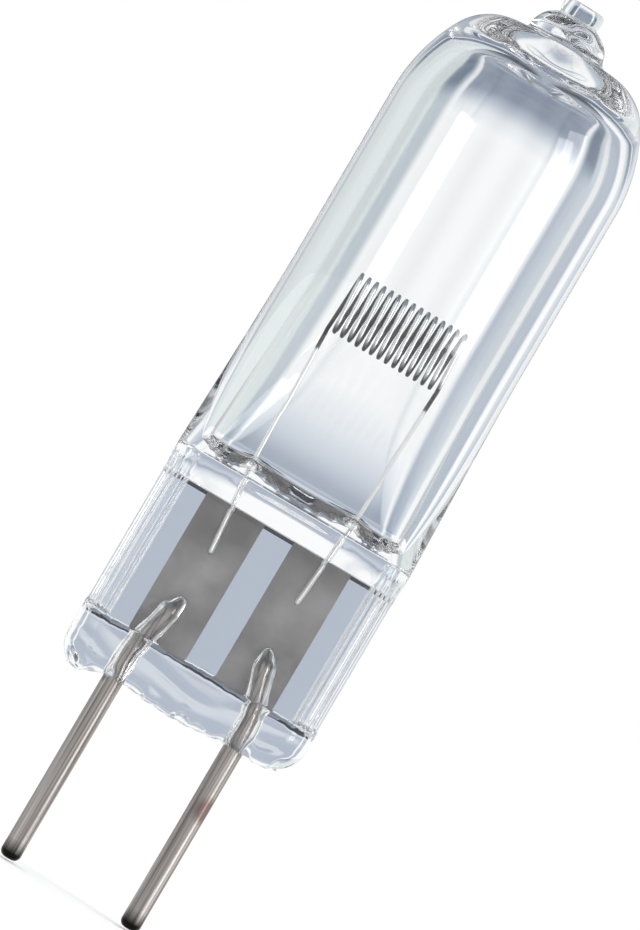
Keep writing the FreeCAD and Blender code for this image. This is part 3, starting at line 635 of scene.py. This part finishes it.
coil_values = {
    "Turns": 15, "Pitch": 0.00039, "Half Rise": 0.001375, "End Radius": 0.0004, "Centre Height": 0.02025,
    "Wire Radius": 0.0001, "Leg Depth": leg_depth * millimetre,
    "Seal Place": leg_place * millimetre, "Seal Height": seal_height * millimetre,
    "Weld Place": weld_place * millimetre, "Weld Height": weld_height * millimetre}
coil_sockets = {name: "Int" if name == "Turns" else "Float" for name in coil_values}
coil, given, result = new_group("flat_coil", "GeometryNodeTree", coil_sockets, {"Geometry": "Geometry"})


def rule(operation, *values):
    """A maths node of the coil's tree."""
    return maths(coil, operation, *values)


def joined(x, y, z):
    """A vector of three sockets in the coil's tree."""
    return add_node(coil, "ShaderNodeCombineXYZ", {"X": x, "Y": y, "Z": z})["Vector"]


def choose(test, when_false, when_true):
    """One of two vectors by a test in the coil's tree."""
    inputs = {"Switch": test, "False": when_false, "True": when_true}
    return add_node(coil, "GeometryNodeSwitch", inputs, input_type="VECTOR")["Output"]


# Each turn has four corners, and two more points at each end of the path are the legs
count = rule("MULTIPLY_ADD", given["Turns"], 4.0, 4.0)
index = add_node(coil, "GeometryNodeInputIndex", {})["Index"]
corner_index = rule("SUBTRACT", index, 2.0)
within = rule("FLOORED_MODULO", corner_index, 4.0)
turn_index = rule("FLOOR", rule("DIVIDE", corner_index, 4.0))
loop_length = rule("MULTIPLY", rule("ADD", given["Half Rise"], given["End Radius"]), 4.0)
lean = rule("DIVIDE", given["Pitch"], loop_length)
rise_step = rule("MULTIPLY", rule("MULTIPLY", lean, 2.0), given["Half Rise"])
depth_step = rule("MULTIPLY", rule("MULTIPLY", lean, 2.0), given["End Radius"])
coil_length = rule("SUBTRACT", rule("MULTIPLY", given["Turns"], given["Pitch"]), depth_step)
coil_x = rule("MULTIPLY_ADD", turn_index, given["Pitch"], rule("MULTIPLY", coil_length, -0.5))
half_within = rule("DIVIDE", within, 2.0)
coil_x = rule("MULTIPLY_ADD", rise_step, rule("CEIL", half_within), coil_x)
coil_x = rule("MULTIPLY_ADD", depth_step, rule("FLOOR", half_within), coil_x)
behind = rule("MULTIPLY_ADD", rule("LESS_THAN", within, 1.5), 2.0, -1.0)
coil_y = rule("MULTIPLY", given["End Radius"], behind)
from_middle = rule("ABSOLUTE", rule("SUBTRACT", within, 1.5))
upper = rule("MULTIPLY_ADD", rule("LESS_THAN", from_middle, 1.0), 2.0, -1.0)
coil_z = rule("MULTIPLY_ADD", given["Half Rise"], upper, given["Centre Height"])
last = rule("SUBTRACT", count, 1.0)
side = rule("SIGN", rule("SUBTRACT", index, rule("DIVIDE", last, 2.0)))
to_end = rule("MINIMUM", index, rule("SUBTRACT", last, index))
seal_point = joined(rule("MULTIPLY", side, given["Seal Place"]), given["Leg Depth"], given["Seal Height"])
weld_point = joined(rule("MULTIPLY", side, given["Weld Place"]), given["Leg Depth"], given["Weld Height"])
leg_point = choose(rule("LESS_THAN", to_end, 0.5), seal_point, weld_point)
path_point = choose(rule("LESS_THAN", to_end, 1.5), joined(coil_x, coil_y, coil_z), leg_point)
line = add_node(coil, "GeometryNodeCurvePrimitiveLine", {})["Curve"]
dots = add_node(coil, "GeometryNodeResampleCurve", {"Curve": line, "Count": count}, mode="COUNT")["Curve"]
wound = add_node(coil, "GeometryNodeSetPosition", {"Geometry": dots, "Position": path_point})["Geometry"]
rounded = add_node(coil, "GeometryNodeFilletCurve", {
    "Curve": wound, "Count": 7, "Radius": given["End Radius"], "Limit Radius": True}, mode="POLY")["Curve"]
section = add_node(
    coil, "GeometryNodeCurvePrimitiveCircle", {"Resolution": 16, "Radius": given["Wire Radius"]})["Curve"]
wire = add_node(
    coil, "GeometryNodeCurveToMesh", {"Curve": rounded, "Profile Curve": section, "Fill Caps": True})["Mesh"]
smooth = add_node(coil, "GeometryNodeSetShadeSmooth", {"Geometry": wire})["Geometry"]
real = add_node(coil, "GeometryNodeRealizeInstances", {"Geometry": smooth})["Geometry"]
dressed = add_node(coil, "GeometryNodeSetMaterial", {"Geometry": real, "Material": wire_material})["Geometry"]
fill(coil, result, {"Geometry": dressed})
filament = bpy.data.objects.new("filament_wire", bpy.data.meshes.new("filament_seed"))
bpy.context.scene.collection.objects.link(filament)
winding = filament.modifiers.new("winding", "NODES")
winding.node_group = coil
for item in coil.interface.items_tree:
    if item.in_out == "INPUT":
        winding[item.identifier] = coil_values[item.name]
evaluated = filament.evaluated_get(bpy.context.evaluated_depsgraph_get())
wire_mesh = bpy.data.meshes.new_from_object(evaluated)
filament.modifiers.clear()
filament.data = wire_mesh
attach(filament, "root")
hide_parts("filament")

# Studio: a plain pale floor and a white surround with two soft boxes, as in a shot cut out on white. Only
# the glass sees the graded card behind the bulb, the small dark flag under it and the faint bands round
# the floor and the surround, and reflections see a surround that is brighter on the right.
band_count = 8.0
bands, given, result = new_group(
    "surround_bands", "ShaderNodeTree", {"Vector": "Vector", "Darkest": "Float"}, {"Tone": "Float"})
level_axes = axes(bands, given["Vector"])
turn = maths(bands, "ARCTAN2", level_axes["Y"], level_axes["X"])
wave = maths(bands, "COSINE", maths(bands, "MULTIPLY", turn, band_count))
band_tone = add_node(bands, "ShaderNodeMapRange", {
    "Value": wave, "From Min": -1.0, "From Max": 0.6, "To Min": given["Darkest"]})
fill(bands, result, {"Tone": band_tone["Result"]})

floor_reach = 2.0
floor_height = -0.0096
floor_corners = ((-1, -1), (1, -1), (1, 1), (-1, 1))
floor_points = [(x * floor_reach, y * floor_reach, floor_height) for x, y in floor_corners]
one_face = [(0, 1, 2, 3)]
floor_material, tree, place = new_material("pale_floor")
floor_shader = tree.nodes["Principled BSDF"]
fill(tree, floor_shader, {"Base Color": (0.97, 0.97, 0.97, 1), "Roughness": 0.95, "Specular IOR Level": 0.1})
floor_bands = add_node(tree, "ShaderNodeGroup", {"Vector": place, "Darkest": 0.55}, node_tree=bands)
floor_glow = add_node(tree, "ShaderNodeEmission", {"Color": floor_bands["Tone"]})
floor_seen = add_node(tree, "ShaderNodeLightPath", {})
floor_mix = add_node(tree, "ShaderNodeMixShader", {
    "Fac": floor_seen["Is Transmission Ray"], 1: floor_shader.outputs["BSDF"], 2: floor_glow["Emission"]})
fill(tree, tree.nodes["Material Output"], {"Surface": floor_mix["Shader"]})
floor = add_object("floor", floor_points, one_face, floor_material, False)


def glow_panel(name, corners):
    """A glowing panel that only the glass sees; returns it, its tree, its coordinates and its glow."""
    material, tree, place = new_material(name)
    tree.nodes.remove(tree.nodes["Principled BSDF"])
    glow = tree.nodes.new("ShaderNodeEmission")
    fill(tree, tree.nodes["Material Output"], {"Surface": glow.outputs["Emission"]})
    panel = add_object(name, np.array(corners) * millimetre, one_face, material, False)
    panel.visible_camera = False
    panel.visible_diffuse = False
    panel.visible_glossy = False
    panel.visible_shadow = False
    return panel, tree, place, glow


# Levels and places on the card are millimetres
white = (1, 1, 1, 1)
black = (0, 0, 0, 1)
pinch_grey = (0.43, 0.48, 0.57, 1)
dome_grey = (0.5, 0.55, 0.63, 1)
dome_pale = (0.84, 0.86, 0.88, 1)
dome_dark = (0.26, 0.3, 0.38, 1)
neck_dark = (0.34, 0.38, 0.47, 1)
neck_grey = (0.58, 0.63, 0.7, 1)
neck_pale = (0.82, 0.85, 0.89, 1)
lip_pale = (0.66, 0.7, 0.76, 1)
low_dark = (0.04, 0.045, 0.055, 1)
left_dark = (0.52, 0.58, 0.63, 1)
left_mid = (0.72, 0.78, 0.77, 1)
left_pale = (0.8, 0.85, 0.85, 1)
right_dark = (0.42, 0.48, 0.57, 1)
right_soft = (0.66, 0.71, 0.76, 1)
right_edge = (0.44, 0.5, 0.57, 1)
centre_line = (0.8, 0.83, 0.86, 1)
height_light_and_shade_stops = (
    (-9, low_dark), (-4.6, low_dark), (-3.6, lip_pale), (-0.5, lip_pale), (1.8, pinch_grey),
    (9.4, pinch_grey), (11.0, neck_grey), (12.4, neck_dark), (13.6, neck_grey), (15.2, neck_pale),
    (17.2, white), (31.8, white), (33.2, dome_pale), (34.3, dome_grey), (35.4, dome_dark), (60, dome_dark))
across_stops = (
    (-50, left_pale), (-26, left_pale), (-21, left_mid), (-12.4, left_mid), (-11.6, left_dark),
    (-8.8, left_dark), (-7.6, white), (-4.5, white), (-4.1, centre_line), (-3.6, white), (3.4, white),
    (3.8, centre_line), (4.3, white), (7.8, white), (9.0, right_dark), (16, right_soft), (18.5, white),
    (25, white), (29, right_edge))
low_part_stops = ((-9, white), (11.0, white), (12.5, black))
outside_stops = (
    (-14, white), (-12.5, black), (-9.5, black), (-8.3, white), (-7.6, white), (-7.2, black),
    (7.2, black), (7.6, white), (8.3, white), (9.5, black), (12.5, black), (14, white))
card_half, card_low, card_high, card_back = 60, -9.4, 70, 30
card_corners = (
    (-card_half, card_back, card_low), (card_half, card_back, card_low),
    (card_half, card_back, card_high), (-card_half, card_back, card_high))
card, tree, place, glow = glow_panel("graded_card", card_corners)
along = axes(tree, place)
height_light_and_shade = ramp(tree, along["Z"], card_low, card_high, height_light_and_shade_stops, millimetre)
across_tone = ramp(tree, along["X"], -card_half, card_half, across_stops, millimetre)
low_part = ramp(tree, along["Z"], card_low, card_high, low_part_stops, millimetre)
outside = ramp(tree, along["X"], -card_half, card_half, outside_stops, millimetre)
side_tone = mix(tree, "MIX", low_part, across_tone, white)
inner_tone = mix(tree, "MIX", outside, height_light_and_shade, white)
fill(tree, glow, {"Color": mix(tree, "MULTIPLY", 1.0, side_tone, inner_tone)})

flag_half, flag_front, flag_back, flag_level = 8.5, -10, 29.8, -9.4
flag_corners = (
    (-flag_half, flag_front, flag_level), (flag_half, flag_front, flag_level),
    (flag_half, flag_back, flag_level), (-flag_half, flag_back, flag_level))
dark_end, pale_start = 7, 14
flag_stops = ((dark_end, (0.03, 0.036, 0.048, 1)), (pale_start, (0.22, 0.25, 0.31, 1)))
flag, tree, place, glow = glow_panel("dark_flag", flag_corners)
flag_tone = ramp(tree, axes(tree, place)["Y"], dark_end, pale_start, flag_stops, millimetre)
fill(tree, glow, {"Color": flag_tone})

light_aim = Vector((0, 0, 0.015))
boxes = (
    ("left_box", (-0.22, -0.2, 0.06), (0.06, 0.25), 0.8),
    ("right_box", (0.24, -0.16, 0.06), (0.1, 0.25), 5.0),
)
for label, spot, size, radiance in boxes:
    light = bpy.data.lights.new(label, "AREA")
    light.shape = "RECTANGLE"
    light.size, light.size_y = size
    light.energy = radiance * math.pi * size[0] * size[1]
    lamp = bpy.data.objects.new(label, light)
    lamp.location = spot
    lamp.rotation_euler = (light_aim - Vector(spot)).to_track_quat("-Z", "Y").to_euler()
    lamp.visible_camera = False
    bpy.context.scene.collection.objects.link(lamp)

# The surround: plain for the camera and diffuse light, graded in reflections, banded through the glass
world = bpy.data.worlds.new("studio")
world.use_nodes = True
bpy.context.scene.world = world
tree = world.node_tree
place = tree.nodes.new("ShaderNodeTexCoord").outputs["Generated"]
along = axes(tree, place)
right_stops = (
    (-1, (0.16, 0.18, 0.22, 1)), (-0.3, (0.2, 0.22, 0.26, 1)), (0.04, (0.36, 0.38, 0.42, 1)),
    (0.5, (0.85, 0.87, 0.9, 1)), (0.8, white))
overhead_stops = ((-1, white), (0.24, white), (0.5, (0.62, 0.66, 0.72, 1)), (0.8, (0.4, 0.44, 0.51, 1)))
right_tone = ramp(tree, along["X"], -1, 1, right_stops)
overhead_tone = ramp(tree, along["Z"], -1, 1, overhead_stops)
seen = add_node(tree, "ShaderNodeLightPath", {})
world_bands = add_node(tree, "ShaderNodeGroup", {"Vector": place, "Darkest": 0.22}, node_tree=bands)
surround = mix(tree, "MIX", seen["Is Transmission Ray"], right_tone, world_bands["Tone"])
graded = mix(tree, "MULTIPLY", 1.0, surround, overhead_tone)
plain = maths(tree, "ADD", seen["Is Camera Ray"], seen["Is Diffuse Ray"])
diffuse_lift = maths(tree, "MULTIPLY_ADD", seen["Is Diffuse Ray"], 0.1, 1.0)
fill(tree, tree.nodes["Background"], {
    "Color": mix(tree, "MIX", plain, graded, white), "Strength": diffuse_lift})

# Camera: level with the bulb and square to the flat face of the pinch, rolled so that the bulb leans to
# the right, and far enough back for a long lens.
roll = math.radians(30.5)
distance = 0.4
sensor_width = 36.0
view_width = 0.04243
aim = Vector((0.0, 0.0, 0.01318))
camera_data = bpy.data.cameras.new("camera")
camera_data.lens = sensor_width * distance / view_width
camera_data.clip_start = 0.01
camera = bpy.data.objects.new("camera", camera_data)
right_axis = Vector((math.cos(roll), 0.0, math.sin(roll)))
up_axis = Vector((-math.sin(roll), 0.0, math.cos(roll)))
back_axis = Vector((0.0, -1.0, 0.0))
turned = Matrix((right_axis, up_axis, back_axis)).transposed()
camera.matrix_world = Matrix.Translation(aim + back_axis * distance) @ turned.to_4x4()
bpy.context.scene.collection.objects.link(camera)
bpy.context.scene.camera = camera
bpy.context.scene.view_settings.view_transform = "Standard"
